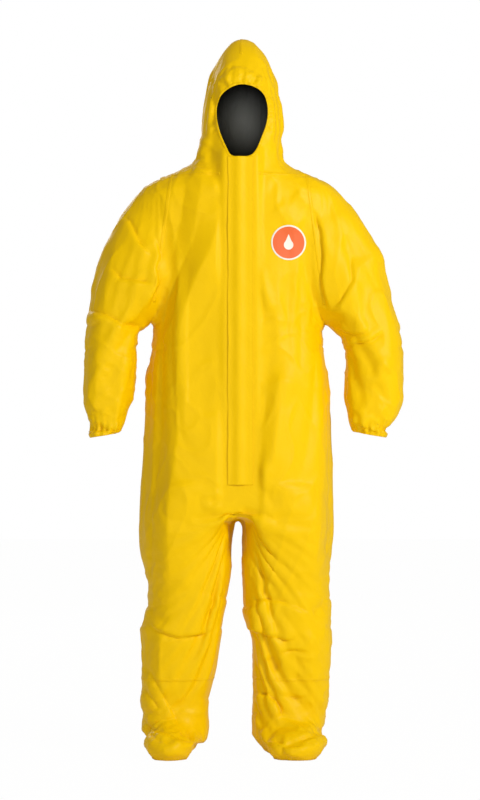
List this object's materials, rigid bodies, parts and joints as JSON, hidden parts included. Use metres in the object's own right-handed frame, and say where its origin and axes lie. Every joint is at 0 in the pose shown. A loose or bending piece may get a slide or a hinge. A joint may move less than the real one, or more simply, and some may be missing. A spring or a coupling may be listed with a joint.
{
  "type": "chemical protective coverall",
  "caption": "Hooded coverall of coated fabric with a storm flap over the front zipper, elastic wrists and attached socks.",
  "frame": {"origin": "on the floor midway between the socks, below the middle of the suit's bounding box", "axes": "+Z from the soles to the hood tip, +X towards the wearer's left, -Y out of the front"},
  "size_m": [0.8196, 0.3515, 1.8515],
  "materials": {
    "coated_fabric": "satin",
    "seam_tape": "satin",
    "elastic": "matte",
    "adhesive_strip": "matte",
    "zipper": "satin",
    "slider": "satin",
    "patch": "satin"
  },
  "bodies": {
    "torso": {"front_panel_left": "coated_fabric", "front_panel_right": "coated_fabric", "back_panel_left": "coated_fabric", "back_panel_right": "coated_fabric", "neck_seam_tape": "seam_tape", "back_seam_tape": "seam_tape", "waist_elastic": "elastic", "armhole_tape_left": "seam_tape", "armhole_tape_right": "seam_tape", "side_seam_tape_left": "seam_tape", "side_seam_tape_right": "seam_tape", "zipper_tape_left": "zipper", "zipper_tape_right": "zipper", "zipper_coil_left": "zipper", "zipper_coil_right": "zipper", "zipper_top_stop": "zipper", "zipper_bottom_stop": "zipper", "chest_patch": "patch", "neck_fold": "coated_fabric", "shoulder_fold_left": "coated_fabric", "shoulder_fold_right": "coated_fabric", "hip_fold_left": "coated_fabric", "hip_fold_right": "coated_fabric", "sleeve_cap_left": "coated_fabric", "sleeve_cap_right": "coated_fabric"},
    "hood": {"hood_panel_left": "coated_fabric", "hood_panel_right": "coated_fabric", "face_hem": "seam_tape", "face_elastic": "elastic", "hood_seam_tape": "seam_tape"},
    "upper_arm_left": {"sleeve_upper_left": "coated_fabric", "elbow_fold_left": "coated_fabric"},
    "forearm_left": {"sleeve_lower_left": "coated_fabric", "cuff_hem_left": "seam_tape", "cuff_elastic_left": "elastic"},
    "thigh_left": {"leg_upper_left": "coated_fabric", "knee_fold_left": "coated_fabric"},
    "shin_left": {"leg_lower_left": "coated_fabric", "sock_seam_tape_left": "seam_tape", "ankle_fold_left": "coated_fabric"},
    "foot_left": {"sock_left": "coated_fabric"},
    "upper_arm_right": {"sleeve_upper_right": "coated_fabric", "elbow_fold_right": "coated_fabric"},
    "forearm_right": {"sleeve_lower_right": "coated_fabric", "cuff_hem_right": "seam_tape", "cuff_elastic_right": "elastic"},
    "thigh_right": {"leg_upper_right": "coated_fabric", "knee_fold_right": "coated_fabric"},
    "shin_right": {"leg_lower_right": "coated_fabric", "sock_seam_tape_right": "seam_tape", "ankle_fold_right": "coated_fabric"},
    "foot_right": {"sock_right": "coated_fabric"},
    "slider": {"slider_body": "slider", "pull_tab": "slider"},
    "flap": {"storm_flap": "coated_fabric", "flap_adhesive_strip": "adhesive_strip"}
  },
  "joints": [
    {"name": "hood_tilt", "type": "hinge", "parent": "torso", "child": "hood", "pos_m": [0, 0, 1.53], "axis": [1, 0, 0], "range_deg": [-30, 20], "deforming": ["neck_fold"]},
    {"name": "shoulder_left", "type": "hinge", "parent": "torso", "child": "upper_arm_left", "pos_m": [0.333, 0, 1.1685], "axis": [0, -1, 0], "range_deg": [0, 40], "deforming": ["shoulder_fold_left"]},
    {"name": "elbow_left", "type": "hinge", "parent": "upper_arm_left", "child": "forearm_left", "pos_m": [0.335, -0.023, 1.021], "axis": [-1, 0, 0], "range_deg": [0, 75], "deforming": ["elbow_fold_left"]},
    {"name": "hip_left", "type": "hinge", "parent": "torso", "child": "thigh_left", "pos_m": [0.127, 0.02, 0.609], "axis": [-1, 0, 0], "range_deg": [-10, 25], "deforming": ["hip_fold_left"]},
    {"name": "knee_left", "type": "hinge", "parent": "thigh_left", "child": "shin_left", "pos_m": [0.13, 0.03, 0.4], "axis": [1, 0, 0], "range_deg": [0, 75], "deforming": ["knee_fold_left"]},
    {"name": "ankle_left", "type": "hinge", "parent": "shin_left", "child": "foot_left", "pos_m": [0.137, 0.015, 0.16], "axis": [1, 0, 0], "range_deg": [-20, 20], "deforming": ["ankle_fold_left"]},
    {"name": "shoulder_right", "type": "hinge", "parent": "torso", "child": "upper_arm_right", "pos_m": [-0.333, 0, 1.1685], "axis": [0, 1, 0], "range_deg": [0, 40], "deforming": ["shoulder_fold_right"]},
    {"name": "elbow_right", "type": "hinge", "parent": "upper_arm_right", "child": "forearm_right", "pos_m": [-0.335, -0.023, 1.021], "axis": [-1, 0, 0], "range_deg": [0, 75], "deforming": ["elbow_fold_right"]},
    {"name": "hip_right", "type": "hinge", "parent": "torso", "child": "thigh_right", "pos_m": [-0.127, 0.02, 0.609], "axis": [-1, 0, 0], "range_deg": [-10, 25], "deforming": ["hip_fold_right"]},
    {"name": "knee_right", "type": "hinge", "parent": "thigh_right", "child": "shin_right", "pos_m": [-0.142, 0.03, 0.4], "axis": [1, 0, 0], "range_deg": [0, 75], "deforming": ["knee_fold_right"]},
    {"name": "ankle_right", "type": "hinge", "parent": "shin_right", "child": "foot_right", "pos_m": [-0.171, 0.015, 0.16], "axis": [1, 0, 0], "range_deg": [-20, 20], "deforming": ["ankle_fold_right"]},
    {"name": "slider_travel", "type": "slide", "parent": "torso", "child": "slider", "axis": [0, -0.0247, -0.9997], "range_m": [0, 0.77]},
    {"name": "flap_hinge", "type": "hinge", "parent": "torso", "child": "flap", "pos_m": [0.036, -0.11328, 1.11], "axis": [0, 0.0247, 0.9997], "range_deg": [0, 120]}
  ]
}
